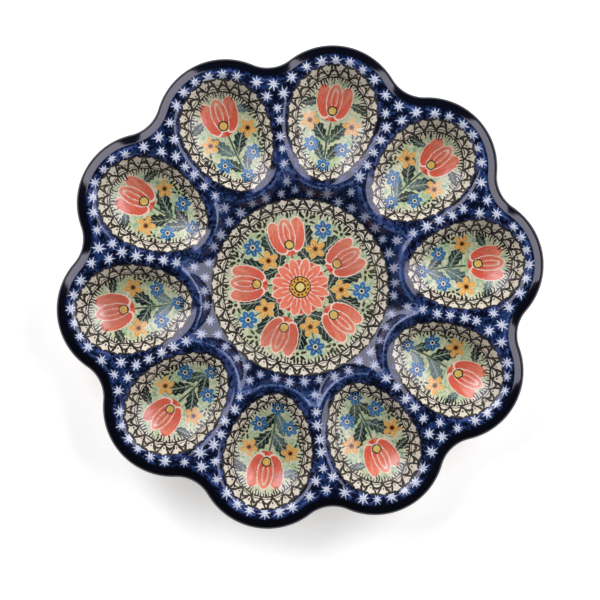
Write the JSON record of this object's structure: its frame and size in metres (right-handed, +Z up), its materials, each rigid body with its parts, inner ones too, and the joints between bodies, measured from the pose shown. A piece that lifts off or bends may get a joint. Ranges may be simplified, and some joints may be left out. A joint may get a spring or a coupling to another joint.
{
  "type": "deviled egg platter",
  "caption": "Scalloped stoneware platter with a ring of egg-shaped wells for halved eggs round a shallow centre bowl, painted and glazed.",
  "frame": {"origin": "middle of the foot ring's resting face", "axes": "+Z up out of the bowls; +X through the middle of one lobe and its egg well"},
  "size_m": [0.28, 0.2702, 0.028],
  "materials": {
    "cobalt_glaze": "glossy mottled cobalt glaze with small white stars, lighter where it breaks at the crests; clear glaze over cream clay underneath, and a bare foot ring",
    "painted_lining": "glossy clear glaze over hand painting on mottled pale green, with a cream and black trellis border",
    "clear_glaze": "glossy clear glaze over cream clay"
  },
  "bodies": {
    "root": {"stoneware_body": "cobalt_glaze", "centre_glaze": "painted_lining", "foot_recess_glaze": "clear_glaze", "well_glaze_01": "painted_lining", "well_glaze_02": "painted_lining", "well_glaze_03": "painted_lining", "well_glaze_04": "painted_lining", "well_glaze_05": "painted_lining", "well_glaze_06": "painted_lining", "well_glaze_07": "painted_lining", "well_glaze_08": "painted_lining", "well_glaze_09": "painted_lining", "well_glaze_10": "painted_lining"}
  },
  "joints": []
}
